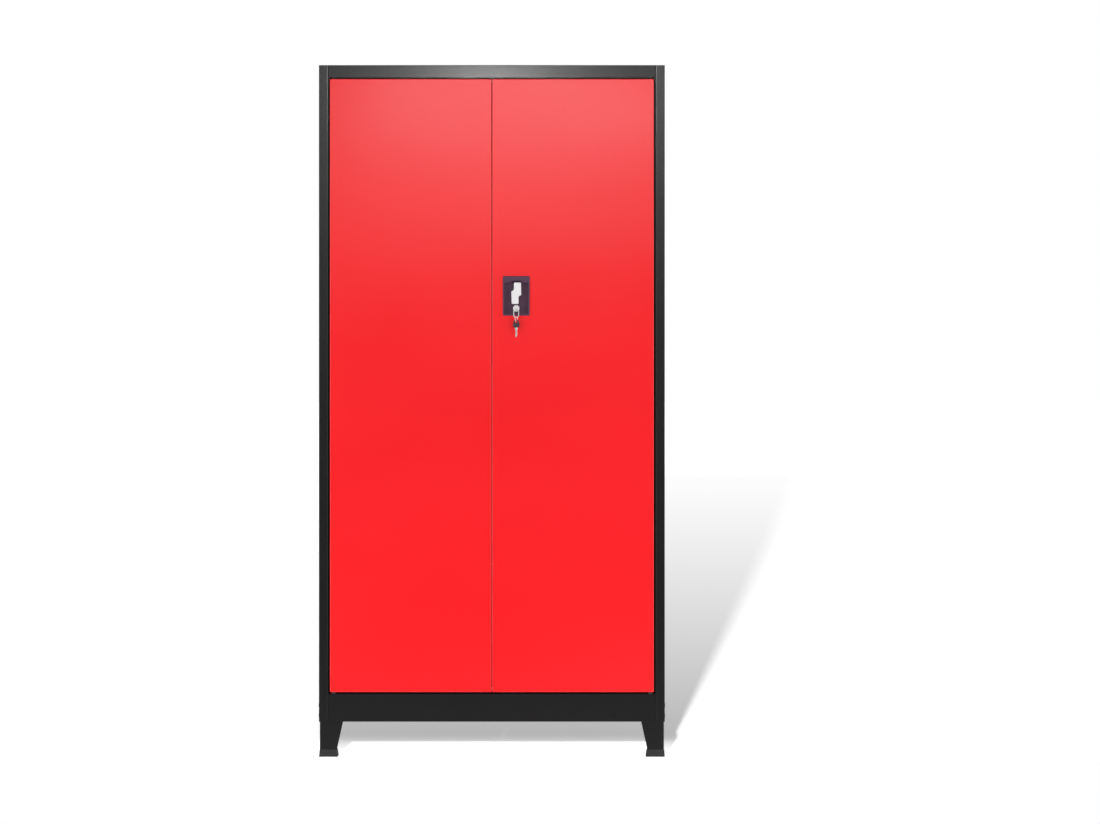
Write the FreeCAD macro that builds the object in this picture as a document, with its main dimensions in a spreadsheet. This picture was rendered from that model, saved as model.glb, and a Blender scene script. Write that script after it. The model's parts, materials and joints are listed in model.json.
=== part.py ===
import FreeCAD, Part
import math
import os
import Sketcher
from FreeCAD import Placement, Rotation, Vector

# Two-door steel cupboard on four corner legs, in millimetres.
# Origin: middle of the footprint, on the floor.  X to the right, Y to the back, Z up.
# The door faces and the front posts lie in the plane y = -depth / 2.

doc = FreeCAD.newDocument("Cupboard")
sheet = doc.addObject("Spreadsheet::Sheet", "Dims")

DIMS = (
    # carcass
    ("wide", 900.0), ("deep", 400.0), ("high", 1800.0), ("gauge", 0.8),
    ("body_base", 91.5), ("post_face", 24.0), ("jamb_deep", 25.0), ("stop_lip", 12.0),
    ("lip_return", 12.0), ("rear_flange", 20.0), ("bend_out", 1.6), ("bend_in", 0.8),
    ("post_bend_out", 2.4), ("post_bend_in", 1.6),
    ("rail_gap", 0.5), ("top_rail_base", 1768.5), ("ledge_top", 164.0), ("floor_top", 176.0),
    ("stop_half", 413.6), ("jamb_base", 152.0), ("stop_top_base", 1756.0),
    ("panel_gap", 0.2), ("back_front", 198.2), ("anchor_x", 200.0), ("anchor_z", 1720.0),
    ("anchor_r", 4.0), ("seam_deep", 13.0),
    # legs and feet
    ("leg_wide", 59.0), ("leg_foot_wide", 43.0), ("leg_gauge", 1.5), ("leg_set", 2.2),
    ("leg_base", 4.0), ("leg_top", 148.0), ("leg_taper_base", 19.0), ("foot_wide", 49.5),
    ("foot_high", 19.0), ("leg_bolt_y", 168.0), ("leg_bolt_low", 107.0), ("leg_bolt_high", 134.0),
    ("leg_bolt_r", 3.0),
    # shelving
    ("strip_y", 130.0), ("strip_wide", 30.0), ("strip_face", 440.0), ("strip_base", 200.0),
    ("strip_top", 1710.0), ("slot_high", 14.0), ("slot_wide", 3.5), ("slot_pitch", 25.0),
    ("slot_first", 216.0), ("slot_count", 60.0),
    ("shelf_half", 438.5), ("shelf_front", 158.0), ("shelf_back", 182.0), ("shelf_lip", 25.0),
    ("shelf_one", 501.0), ("shelf_two", 826.0), ("shelf_three", 1151.0), ("shelf_four", 1476.0),
    # doors
    ("door_edge", 421.5), ("door_free", 0.8), ("door_base", 168.5), ("door_top", 1764.0),
    ("door_thick", 20.0), ("door_lip", 14.0), ("door_round", 1.6), ("door_round_in", 0.8),
    ("hinge_x", 412.0), ("hinge_y", 190.5), ("pin_r", 3.0), ("bush_bore", 3.08),
    ("bush_r", 4.45), ("bush_flange", 6.5), ("stiff_x", 215.0), ("stiff_base", 190.0),
    ("stiff_top", 1742.0), ("bumper_r", 4.5),
    # lock and latch
    ("lock_x", 63.5), ("knob_z", 1206.5), ("plug_z", 1167.0), ("bezel_wide", 70.0),
    ("bezel_base", 1148.0), ("bezel_top", 1251.0), ("bezel_proud", 3.2), ("recess_deep", 10.0),
    ("disc_r", 20.0), ("crank_r", 14.0), ("crank_pin_r", 2.5), ("rod_wide", 10.0),
    ("rod_gauge", 2.0), ("fan_r", 24.0), ("fan_clear_r", 24.8),
    # keys
    ("key_plane", 210.2), ("bow_outer_r", 7.4), ("bow_inner_r", 5.1), ("bow_thick", 2.0),
    ("ring_r", 6.4), ("ring_wire", 0.7),
)


class Size:
    """A length with its value and the sheet expression that drives it."""

    def __init__(self, value, text):
        self.value = float(value)
        self.text = text

    @staticmethod
    def of(other):
        if isinstance(other, Size):
            return other
        return Size(other, "(%.5f)" % float(other))

    def _mix(self, other, value, sign, flip=False):
        left, right = (other, self) if flip else (self, other)
        return Size(value, "(%s %s %s)" % (left.text, sign, right.text))

    def __add__(self, other):
        other = Size.of(other)
        return self._mix(other, self.value + other.value, "+")

    def __radd__(self, other):
        return Size.of(other) + self

    def __sub__(self, other):
        other = Size.of(other)
        return self._mix(other, self.value - other.value, "-")

    def __rsub__(self, other):
        return Size.of(other) - self

    def __mul__(self, other):
        other = Size.of(other)
        return self._mix(other, self.value * other.value, "*")

    def __rmul__(self, other):
        return Size.of(other) * self

    def __truediv__(self, other):
        other = Size.of(other)
        return self._mix(other, self.value / other.value, "/")

    def __neg__(self):
        return Size(-self.value, "(0 - %s)" % self.text)


D = {}
for row, (alias, value) in enumerate(DIMS, 1):
    sheet.set("A%d" % row, alias.replace("_", " "))
    sheet.set("B%d" % row, "%g" % value)
    sheet.setAlias("B%d" % row, alias)
    D[alias] = Size(value, "Dims." + alias)
doc.recompute()

PIECES = []
PLANES = {"X": "YZ_Plane", "Y": "XZ_Plane", "Z": "XY_Plane"}


def num(value):
    return Size.of(value).value


def order(a, b):
    a, b = Size.of(a), Size.of(b)
    return (a, b) if a.value <= b.value else (b, a)


def rect(u0, v0, u1, v1):
    return ("poly", [(u0, v0), (u1, v0), (u1, v1), (u0, v1)])


def poly(*points):
    return ("poly", list(points))


def circle(u, v, r):
    return ("circle", u, v, r)


def slot(u0, v0, u1, v1, r):
    return ("slot", u0, v0, u1, v1, r)


class Piece:
    """One named piece: a PartDesign body grown feature by feature."""

    def __init__(self, label):
        self.body = doc.addObject("PartDesign::Body", label)
        self.body.Label = label
        self.body.AllowCompound = True
        self.label = label
        self.last = None
        self.n = 0
        PIECES.append(self)

    def name(self, kind):
        self.n += 1
        return "%s_%s_%d" % (self.label, kind, self.n)

    def origin(self, role):
        for item in self.body.Origin.OriginFeatures:
            if item.Role == role:
                return item
        raise RuntimeError("no origin feature " + role)

    def sketch(self, axis, level, shapes, shift=(0, 0)):
        """Sketch square to an axis, at a level along it, its own origin moved by shift."""
        sk = self.body.newObject("Sketcher::SketchObject", self.name("sketch"))
        sk.AttachmentSupport = [(self.origin(PLANES[axis]), "")]
        sk.MapMode = "FlatFace"
        level = Size.of(level)
        if axis == "Y":
            level = -level
        du, dv = Size.of(shift[0]), Size.of(shift[1])
        sk.AttachmentOffset = Placement(Vector(du.value, dv.value, level.value), Rotation())
        sk.setExpression("AttachmentOffset.Base.z", level.text)
        if du.value or dv.value:
            sk.setExpression("AttachmentOffset.Base.x", du.text)
            sk.setExpression("AttachmentOffset.Base.y", dv.text)

        def fix(geo, point, u, v):
            for kind, item in (("DistanceX", u), ("DistanceY", v)):
                item = Size.of(item)
                index = sk.addConstraint(Sketcher.Constraint(kind, -1, 1, geo, point, item.value))
                sk.setExpression("Constraints[%d]" % index, item.text)

        def radius(geo, r):
            r = Size.of(r)
            index = sk.addConstraint(Sketcher.Constraint("Radius", geo, r.value))
            sk.setExpression("Constraints[%d]" % index, r.text)

        for shape in shapes:
            base = sk.GeometryCount
            if shape[0] == "poly":
                points = shape[1]
                count = len(points)
                for i in range(count):
                    a, b = points[i], points[(i + 1) % count]
                    sk.addGeometry(Part.LineSegment(Vector(num(a[0]), num(a[1]), 0),
                                                    Vector(num(b[0]), num(b[1]), 0)), False)
                for i in range(count):
                    sk.addConstraint(Sketcher.Constraint("Coincident", base + i, 2,
                                                         base + (i + 1) % count, 1))
                for i in range(count):
                    fix(base + i, 1, points[i][0], points[i][1])
            elif shape[0] == "circle":
                u, v, r = shape[1:]
                sk.addGeometry(Part.Circle(Vector(num(u), num(v), 0), Vector(0, 0, 1), num(r)), False)
                fix(base, 3, u, v)
                radius(base, r)
            elif shape[0] == "fan":
                # a sector: centre, radius and half angle, pointing along +u
                u, v, r, half = shape[1:]
                rise = num(r) * math.sin(math.radians(half))
                arc = Part.ArcOfCircle(Part.Circle(Vector(num(u), num(v), 0), Vector(0, 0, 1), num(r)),
                                       -math.radians(half), math.radians(half))
                start = Vector(num(u) + num(r) * math.cos(math.radians(half)), num(v) - rise, 0)
                end = Vector(start.x, num(v) + rise, 0)
                centre = Vector(num(u), num(v), 0)
                sk.addGeometry(arc, False)
                sk.addGeometry(Part.LineSegment(end, centre), False)
                sk.addGeometry(Part.LineSegment(centre, start), False)
                sk.addConstraint(Sketcher.Constraint("Coincident", base, 2, base + 1, 1))
                sk.addConstraint(Sketcher.Constraint("Coincident", base + 1, 2, base + 2, 1))
                sk.addConstraint(Sketcher.Constraint("Coincident", base + 2, 2, base, 1))
                sk.addConstraint(Sketcher.Constraint("Coincident", base + 1, 2, base, 3))
                fix(base, 3, u, v)
                radius(base, r)
                factor = math.sin(math.radians(half))
                for point, sign in ((1, -1), (2, 1)):
                    item = Size.of(v) + Size.of(r) * (sign * factor)
                    index = sk.addConstraint(Sketcher.Constraint("DistanceY", -1, 1, base, point,
                                                                 item.value))
                    sk.setExpression("Constraints[%d]" % index, item.text)
            elif shape[0] == "slot":
                u0, v0, u1, v1, r = shape[1:]
                a, b = Vector(num(u0), num(v0), 0), Vector(num(u1), num(v1), 0)
                along = b.sub(a)
                along.normalize()
                side = Vector(-along.y, along.x, 0) * num(r)
                turn = math.atan2(side.y, side.x)
                sk.addGeometry(Part.ArcOfCircle(Part.Circle(a, Vector(0, 0, 1), num(r)),
                                                turn, turn + math.pi), False)
                sk.addGeometry(Part.ArcOfCircle(Part.Circle(b, Vector(0, 0, 1), num(r)),
                                                turn - math.pi, turn), False)
                sk.addGeometry(Part.LineSegment(a.sub(side), b.sub(side)), False)
                sk.addGeometry(Part.LineSegment(b.add(side), a.add(side)), False)
                sk.addConstraint(Sketcher.Constraint("Tangent", base, 2, base + 2, 1))
                sk.addConstraint(Sketcher.Constraint("Tangent", base + 2, 2, base + 1, 1))
                sk.addConstraint(Sketcher.Constraint("Tangent", base + 1, 2, base + 3, 1))
                sk.addConstraint(Sketcher.Constraint("Tangent", base + 3, 2, base, 1))
                fix(base, 3, u0, v0)
                fix(base + 1, 3, u1, v1)
                radius(base, r)
        return sk

    def pad(self, axis, a0, a1, *shapes):
        a0, a1 = order(a0, a1)
        sk = self.sketch(axis, a1 if axis == "Y" else a0, shapes)
        item = self.body.newObject("PartDesign::Pad", self.name("pad"))
        item.Profile = sk
        item.Length = a1.value - a0.value
        item.setExpression("Length", (a1 - a0).text)
        self.last = item
        return item

    def cut(self, axis, a0, a1, *shapes):
        a0, a1 = order(a0, a1)
        sk = self.sketch(axis, a0 if axis == "Y" else a1, shapes)
        item = self.body.newObject("PartDesign::Pocket", self.name("pocket"))
        item.Profile = sk
        item.Length = a1.value - a0.value
        item.setExpression("Length", (a1 - a0).text)
        self.last = item
        self.cuts = getattr(self, "cuts", []) + [item]
        return item

    def turn(self, axis, shift, level, points, groove=False):
        """Turned form: (radius, height) profile about the sketch's upright axis."""
        sk = self.sketch(axis, level, [("poly", points)], shift)
        kind = "Groove" if groove else "Revolution"
        item = self.body.newObject("PartDesign::" + kind, self.name(kind.lower()))
        item.Profile = sk
        item.ReferenceAxis = (sk, ["V_Axis"])
        item.Angle = 360.0
        self.last = item
        return item

    def turn_z(self, x, y, points):
        return self.turn("Y", (x, 0), y, points)

    def turn_y(self, x, z, points):
        return self.turn("Z", (x, 0), z, points)

    def line(self, originals, axis, length, count):
        item = self.body.newObject("PartDesign::LinearPattern", self.name("row"))
        item.Originals = originals
        item.Direction = (self.origin(axis + "_Axis"), [""])
        length = Size.of(length)
        item.Length = abs(length.value)
        item.setExpression("Length", length.text)
        item.Reversed = False
        item.Occurrences = count
        self.body.Tip = item
        self.last = item
        return item

    def mirror(self, originals, plane):
        item = self.body.newObject("PartDesign::Mirrored", self.name("mirror"))
        item.Originals = originals
        item.MirrorPlane = (self.origin(plane), [""])
        self.body.Tip = item
        self.last = item
        return item

    def round(self, radius, *marks):
        """Round the straight edges that pass through the marked points: (x, y, z, direction)."""
        doc.recompute()
        shape = self.last.Shape
        found = []
        for mark in marks:
            point = Part.Vertex(Vector(num(mark[0]), num(mark[1]), num(mark[2])))
            axis = {"X": Vector(1, 0, 0), "Y": Vector(0, 1, 0), "Z": Vector(0, 0, 1)}.get(mark[3])
            best = None
            for index, edge in enumerate(shape.Edges, 1):
                if edge.Degenerated:
                    continue
                if axis is not None:
                    if edge.Curve.TypeId != "Part::GeomLine":
                        continue
                    ends = edge.Vertexes
                    way = ends[1].Point.sub(ends[0].Point)
                    if way.Length < 1e-6 or abs(way.dot(axis)) / way.Length < 0.999:
                        continue
                gap = edge.distToShape(point)[0]
                if gap < 0.05 and (best is None or gap < best[0]):
                    best = (gap, index)
            if best is None:
                raise RuntimeError("%s: no edge at %s" % (self.label, [num(m) if not isinstance(m, str) else m for m in mark]))
            name = "Edge%d" % best[1]
            if name not in found:
                found.append(name)
        item = self.body.newObject("PartDesign::Fillet", self.name("fillet"))
        item.Base = (self.last, found)
        radius = Size.of(radius)
        item.Radius = radius.value
        item.setExpression("Radius", radius.text)
        self.last = item
        return item


# Derived planes, all expressions of the sheet.
half_w = D["wide"] / 2
front = -(D["deep"] / 2)
back = D["deep"] / 2
g = D["gauge"]
top = D["high"]
plate_base = D["high"] - g
post_in = half_w - D["post_face"]
stop_back = front + D["jamb_deep"]
stop_front = stop_back - g
lip_in = post_in - D["stop_lip"]
rail_end = post_in - D["rail_gap"]
floor_base = D["floor_top"] - g
leg_x = half_w - D["leg_set"]
leg_y = back - D["leg_set"]
screw_levels = [190.0, 500.0, 820.0, 1140.0, 1460.0, 1770.0]
screw_x = 440.0


# ---------------------------------------------------------------- carcass
def side_panel(label, s):
    """Side wall with its front post, door stop and rear flange, bent from one sheet."""
    p = Piece(label)
    p.pad("Z", D["body_base"], plate_base, poly(
        (s * half_w, front), (s * half_w, back), (s * (half_w - D["rear_flange"]), back),
        (s * (half_w - D["rear_flange"]), back - g), (s * (half_w - g), back - g),
        (s * (half_w - g), front + g), (s * post_in, front + g), (s * post_in, front)))
    p.pad("Z", D["jamb_base"], plate_base, poly(
        (s * post_in, front), (s * (post_in + g), front), (s * (post_in + g), stop_back),
        (s * (lip_in + g), stop_back), (s * (lip_in + g), stop_back + D["lip_return"]),
        (s * lip_in, stop_back + D["lip_return"]), (s * lip_in, stop_front), (s * post_in, stop_front)))
    a, b = order(s * (half_w - 12.8), s * (half_w - g / 2))
    p.pad("Z", D["body_base"], D["body_base"] + g, rect(a, -135, b, 135))
    mid = (D["jamb_base"] + plate_base) / 2
    p.round(D["bend_out"],
            (s * half_w, front, mid, "Z"), (s * half_w, back, mid, "Z"))
    p.round(D["bend_in"],
            (s * (half_w - g), front + g, mid, "Z"), (s * (half_w - g), back - g, mid, "Z"))
    p.round(D["post_bend_out"], (s * post_in, front, mid, "Z"))
    p.round(D["post_bend_in"], (s * (post_in + g), front + g, mid, "Z"))
    p.round(1.2, (s * lip_in, stop_front, mid, "Z"))
    a, b = order(s * (half_w - 2), s * (half_w + 1))
    p.cut("X", a, b, *[circle(sy * D["leg_bolt_y"], z, D["leg_bolt_r"] + 0.2)
                       for sy in (-1, 1) for z in (D["leg_bolt_low"], D["leg_bolt_high"])])
    p.cut("Y", back - 2, back + 1, *[circle(s * screw_x, z, 2.2) for z in screw_levels])
    return p


side_panel("side_panel_left", -1)
side_panel("side_panel_right", 1)


def top_panel():
    """Roof with the front rail, the door stop under it and down-turned side and rear flanges."""
    p = Piece("top_panel")
    rb = D["top_rail_base"]
    p.pad("Z", plate_base, top, rect(-half_w, front, half_w, back))
    p.pad("Y", front, front + g, rect(-rail_end, rb, rail_end, plate_base + g / 2))
    p.pad("Z", rb, rb + g, poly(
        (-rail_end, front), (rail_end, front), (rail_end, stop_front - 0.2),
        (D["stop_half"], stop_front - 0.2), (D["stop_half"], stop_back),
        (-D["stop_half"], stop_back), (-D["stop_half"], stop_front - 0.2), (-rail_end, stop_front - 0.2)))
    p.pad("Y", stop_front, stop_back, rect(-D["stop_half"], D["stop_top_base"], D["stop_half"], rb + g))
    p.pad("Z", D["stop_top_base"], D["stop_top_base"] + g,
          rect(-D["stop_half"], stop_front, D["stop_half"], stop_back + 10))
    for s in (-1, 1):
        p.pad("X", s * (half_w - 1.0), s * (half_w - 1.0 - g), rect(-160, 1770, 197, plate_base + g / 2))
    p.pad("Y", back - 2.0 - g, back - 2.0, rect(-448, 1772, 448, plate_base + g / 2))
    p.round(D["bend_out"], (0, front, top, "X"))
    p.round(0.7, (half_w, 0, top, "Y"), (-half_w, 0, top, "Y"), (0, back, top, "X"))
    p.round(1.2, (0, front, rb, "X"))
    p.cut("Z", rb - 1, rb + g + 1,
          circle(-D["hinge_x"], -D["hinge_y"], D["bush_r"] + 0.1),
          circle(D["hinge_x"], -D["hinge_y"], D["bush_r"] + 0.1),
          rect(D["lock_x"] + 6, -188.7, D["lock_x"] + 18, -184.5))
    return p


top_panel()


def bottom_panel():
    """Floor tray: front rail, ledge under the doors, step that stops them, raised floor."""
    p = Piece("bottom_panel")
    bb = D["body_base"]
    lt = D["ledge_top"]
    p.pad("Y", front, front + g, rect(-rail_end, bb, rail_end, lt))
    p.pad("Z", bb, bb + g, rect(-385, front, 385, front + 18))
    p.pad("Z", lt - g, lt, poly(
        (-rail_end, front), (rail_end, front), (rail_end, stop_front - 0.2),
        (D["stop_half"], stop_front - 0.2), (D["stop_half"], stop_back),
        (-D["stop_half"], stop_back), (-D["stop_half"], stop_front - 0.2), (-rail_end, stop_front - 0.2)))
    p.pad("Y", stop_front, stop_back, rect(-D["stop_half"], lt - g, D["stop_half"], D["floor_top"]))
    p.pad("Z", floor_base, D["floor_top"], poly(
        (-D["stop_half"], stop_front), (D["stop_half"], stop_front), (D["stop_half"], -160),
        (half_w - 1.1, -160), (half_w - 1.1, back - 2), (-(half_w - 1.1), back - 2),
        (-(half_w - 1.1), -160), (-D["stop_half"], -160)))
    for s in (-1, 1):
        p.pad("X", s * (half_w - 1.1), s * (half_w - 1.1 - g), rect(-160, 150, 197, floor_base + g / 2))
    p.pad("Y", back - 2 - g, back - 2, poly(
        (-448, floor_base + g / 2), (448, floor_base + g / 2), (448, 150), (385, 150), (385, bb),
        (-385, bb), (-385, 150), (-448, 150)))
    p.round(1.2, (0, front, lt, "X"), (0, front, bb, "X"))
    p.round(1.2, (0, stop_front, D["floor_top"], "X"))
    p.cut("Z", lt - g - 1, lt + 1,
          circle(-D["hinge_x"], -D["hinge_y"], D["bush_r"] + 0.1),
          circle(D["hinge_x"], -D["hinge_y"], D["bush_r"] + 0.1),
          rect(D["lock_x"] - 18, -188.7, D["lock_x"] - 6, -184.5))
    return p


bottom_panel()


def back_panel(label, s):
    """Half of the back wall, with a fold at the middle seam."""
    p = Piece(label)
    y0 = D["back_front"]
    p.pad("Y", y0, y0 + g, rect(s * 0.4, D["body_base"], s * 447, 1797))
    p.pad("X", s * 0.4, s * (0.4 + g), rect(y0 + g - D["seam_deep"], 178, y0 + g, 1768))
    p.round(0.7, (s * 0.4, y0 + g, 900, "Z"))
    p.cut("Y", y0 - 1, y0 + g + 1, circle(s * D["anchor_x"], D["anchor_z"], D["anchor_r"]),
          *[circle(s * screw_x, z, 1.9) for z in screw_levels])
    return p


back_panel("back_panel_left", -1)
back_panel("back_panel_right", 1)

p = Piece("back_seam_channel")
p.pad("Z", 178, 1768, poly((-2.2, 184.9), (2.2, 184.9), (2.2, 197.9), (1.4, 197.9), (1.4, 185.7),
                           (-1.4, 185.7), (-1.4, 197.9), (-2.2, 197.9)))


def shelf_strip(label, s, t):
    """Slotted upright that carries the shelf clips."""
    p = Piece(label)
    yc = t * D["strip_y"]
    hw = D["strip_wide"] / 2
    face = D["strip_face"]
    wall = half_w - g - 0.1
    p.pad("Z", D["strip_base"], D["strip_top"], poly(
        (s * face, yc - hw), (s * wall, yc - hw), (s * wall, yc - hw + g), (s * (face + g), yc - hw + g),
        (s * (face + g), yc + hw - g), (s * wall, yc + hw - g), (s * wall, yc + hw), (s * face, yc + hw)))
    a, b = order(s * (face - 1), s * (face + g + 1))
    first = D["slot_first"]
    cut = p.cut("X", a, b, rect(yc - D["slot_wide"] / 2, first - D["slot_high"] / 2,
                                yc + D["slot_wide"] / 2, first + D["slot_high"] / 2))
    doc.recompute()
    p.line([cut], "Z", D["slot_pitch"] * (D["slot_count"] - 1), int(D["slot_count"].value))
    return p


for s, side in ((-1, "left"), (1, "right")):
    for t, end in ((-1, "front"), (1, "rear")):
        shelf_strip("shelf_strip_%s_%s" % (end, side), s, t)


def shelf(label, level):
    """Folded shelf: lips front and back with a return, shorter flanges at the ends."""
    p = Piece(label)
    h = D["shelf_half"]
    f, b = -D["shelf_front"], D["shelf_back"]
    low = level - D["shelf_lip"]
    p.pad("X", -h, h, poly(
        (f, level), (b, level), (b, low), (b - 10, low), (b - 10, low + g), (b - g, low + g),
        (b - g, level - g), (f + g, level - g), (f + g, low + g), (f + 10, low + g), (f + 10, low), (f, low)))
    for s in (-1, 1):
        p.pad("X", s * h, s * (h - g), rect(f + 2, level - 18.7, b - 2, level - g / 2))
    p.round(1.2, (0, f, level, "X"), (0, b, level, "X"))
    p.round(1.2, (0, f, low, "X"), (0, b, low, "X"))
    return p


SHELVES = (("shelf_1", D["shelf_one"]), ("shelf_2", D["shelf_two"]),
           ("shelf_3", D["shelf_three"]), ("shelf_4", D["shelf_four"]))
for label, level in SHELVES:
    shelf(label, level)

# Sixteen clips: each hooks through a strip slot and carries a shelf corner on its ledge.
p = Piece("shelf_clips")
face = D["strip_face"]
for s in (-1, 1):
    plates = [rect(t * D["strip_y"] - 7, level - 20, t * D["strip_y"] + 7, level - 1)
              for t in (-1, 1) for _, level in SHELVES]
    p.pad("X", s * (face - 0.1), s * (face - 1.3), *plates)
    ledges = [rect(t * D["strip_y"] - 7, level - 20, t * D["strip_y"] + 7, level - 18.8)
              for t in (-1, 1) for _, level in SHELVES]
    p.pad("X", s * (face - 0.7), s * (face - 11), *ledges)
    tongues = [rect(t * D["strip_y"] - 1.5, level - 16, t * D["strip_y"] + 1.5, level - 4)
               for t in (-1, 1) for _, level in SHELVES]
    p.pad("X", s * (face - 0.7), s * (face + 3.5), *tongues)
    hooks = [rect(t * D["strip_y"] - 1.5, level - 20, t * D["strip_y"] + 1.5, level - 12)
             for t in (-1, 1) for _, level in SHELVES]
    p.pad("X", s * (face + 1.2), s * (face + 3.5), *hooks)


# ---------------------------------------------------------------- legs and feet
def leg(label, s, t):
    """Corner leg bent from thicker sheet, its two faces narrowing towards the foot."""
    p = Piece(label)
    lg = D["leg_gauge"]
    for axis in ("Y", "X"):
        outer, sign, mine, cross = ((leg_x, s, leg_y, t) if axis == "Y" else (leg_y, t, leg_x, s))
        a, b = order(cross * mine, cross * (mine - lg))
        p.pad(axis, a, b, poly(
            (sign * outer, D["leg_base"]), (sign * outer, D["leg_top"]),
            (sign * (outer - D["leg_wide"] + 8), D["leg_top"]),
            (sign * (outer - D["leg_wide"]), D["leg_top"] - 8),
            (sign * (outer - D["leg_wide"]), D["body_base"]),
            (sign * (outer - D["leg_foot_wide"]), D["leg_taper_base"]),
            (sign * (outer - D["leg_foot_wide"]), D["leg_base"])))
    p.round(3.0, (s * leg_x, t * leg_y, 60, "Z"))
    p.round(1.5, (s * (leg_x - lg), t * (leg_y - lg), 60, "Z"))
    a, b = order(s * (leg_x - 4), s * (leg_x + 1))
    p.cut("X", a, b, circle(t * D["leg_bolt_y"], D["leg_bolt_low"], D["leg_bolt_r"] + 0.2),
          circle(t * D["leg_bolt_y"], D["leg_bolt_high"], D["leg_bolt_r"] + 0.2))
    return p


def foot_cap(label, s, t):
    """Moulded foot that flares to the floor, with a slot for the leg."""
    p = Piece(label)
    fw = D["foot_wide"]
    low = p.sketch("Z", 0, [rect(s * half_w, t * back, s * (half_w - fw), t * (back - fw))])
    high = p.sketch("Z", D["foot_high"], [rect(s * (half_w - 1.5), t * (back - 1.5),
                                               s * (half_w - fw + 3.2), t * (back - fw + 3.2))])
    loft = p.body.newObject("PartDesign::AdditiveLoft", p.name("loft"))
    loft.Profile = low
    loft.Sections = [high]
    loft.Ruled = True
    p.last = loft
    lx, ly = leg_x + 0.1, leg_y + 0.1
    lg = D["leg_gauge"] + 0.2
    fwid = D["leg_foot_wide"] + 0.2
    p.cut("Z", D["leg_base"], D["foot_high"] + 1, poly(
        (s * lx, t * ly), (s * lx, t * (ly - fwid)), (s * (lx - lg), t * (ly - fwid)),
        (s * (lx - lg), t * (ly - lg - 1.2)), (s * (lx - lg - 1.2), t * (ly - lg)),
        (s * (lx - fwid), t * (ly - lg)), (s * (lx - fwid), t * ly)))
    doc.recompute()
    return p


for s, side in ((-1, "left"), (1, "right")):
    for t, end in ((-1, "front"), (1, "rear")):
        leg("leg_%s_%s" % (end, side), s, t)
for s, side in ((-1, "left"), (1, "right")):
    for t, end in ((-1, "front"), (1, "rear")):
        foot_cap("foot_cap_%s_%s" % (end, side), s, t)

# Bolts through side wall and leg, low round head outside; nuts behind the leg.
bolts = Piece("leg_bolts")
nuts = Piece("leg_nuts")
for s in (-1, 1):
    inner = leg_x - D["leg_gauge"]
    spots = [(t * D["leg_bolt_y"], z) for t in (-1, 1) for z in (D["leg_bolt_low"], D["leg_bolt_high"])]
    bolts.pad("X", s * (inner - 7), s * (half_w + 0.05), *[circle(y, z, D["leg_bolt_r"]) for y, z in spots])
    bolts.pad("X", s * (half_w + 0.05), s * (half_w + 0.5), *[circle(y, z, 6.0) for y, z in spots])
    bolts.pad("X", s * (half_w + 0.5), s * (half_w + 0.8), *[circle(y, z, 4.8) for y, z in spots])
    across = 5.0
    side_len = across / math.cos(math.radians(30))
    hexes = []
    for y, z in spots:
        ring = [(y + side_len * math.cos(math.radians(60 * k)), z + side_len * math.sin(math.radians(60 * k)))
                for k in range(6)]
        hexes.append(("poly", ring))
    nuts.pad("X", s * (inner - 0.05), s * (inner - 5.05), *hexes)
    nuts.cut("X", s * (inner + 1), s * (inner - 6), *[circle(y, z, D["leg_bolt_r"] + 0.02) for y, z in spots])

screws = Piece("back_screws")
for s in (-1, 1):
    spots = [(s * screw_x, z) for z in screw_levels]
    screws.pad("Y", back - 9, back + 0.02, *[circle(x, z, 1.9) for x, z in spots])
    screws.pad("Y", back + 0.02, back + 1.2, *[circle(x, z, 3.9) for x, z in spots])
    screws.pad("Y", back + 1.2, back + 1.8, *[circle(x, z, 2.9) for x, z in spots])
    screws.cut("Y", back + 0.9, back + 3, *[rect(x - 0.4, z - 2.2, x + 0.4, z + 2.2) for x, z in spots])
    screws.cut("Y", back + 0.9, back + 3, *[rect(x - 2.2, z - 0.4, x + 2.2, z + 0.4) for x, z in spots])

# Rubber buttons on the stops, under the free corners and middles of both doors.
p = Piece("door_bumpers")
buttons = [(x, z) for x in (-200.0, -30.0, 30.0, 200.0) for z in (1762.2, 170.0)]
p.pad("Y", stop_front - 3.0, stop_front, *[circle(x, z, D["bumper_r"]) for x, z in buttons])
p.pad("Y", stop_front - 4.0, stop_front - 3.0, *[circle(x, z, D["bumper_r"] - 1.2) for x, z in buttons])

# Plastic bushes that the hinge pins turn in, top rail and bottom ledge.
p = Piece("pivot_bushes")
for s in (-1, 1):
    rb, lt = D["top_rail_base"], D["ledge_top"]
    p.turn_z(s * D["hinge_x"], -D["hinge_y"], [
        (D["bush_bore"], rb - 1.5), (D["bush_flange"], rb - 1.5), (D["bush_flange"], rb - 0.1),
        (D["bush_r"], rb - 0.1), (D["bush_r"], rb + 6.5), (D["bush_bore"], rb + 6.5)])
    p.turn_z(s * D["hinge_x"], -D["hinge_y"], [
        (D["bush_bore"], lt + 1.5), (D["bush_flange"], lt + 1.5), (D["bush_flange"], lt + 0.1),
        (D["bush_r"], lt + 0.1), (D["bush_r"], lt - 7), (D["bush_bore"], lt - 7)])


# ---------------------------------------------------------------- doors
door_back = front + D["door_thick"]
door_stop_x = D["door_edge"]


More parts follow.
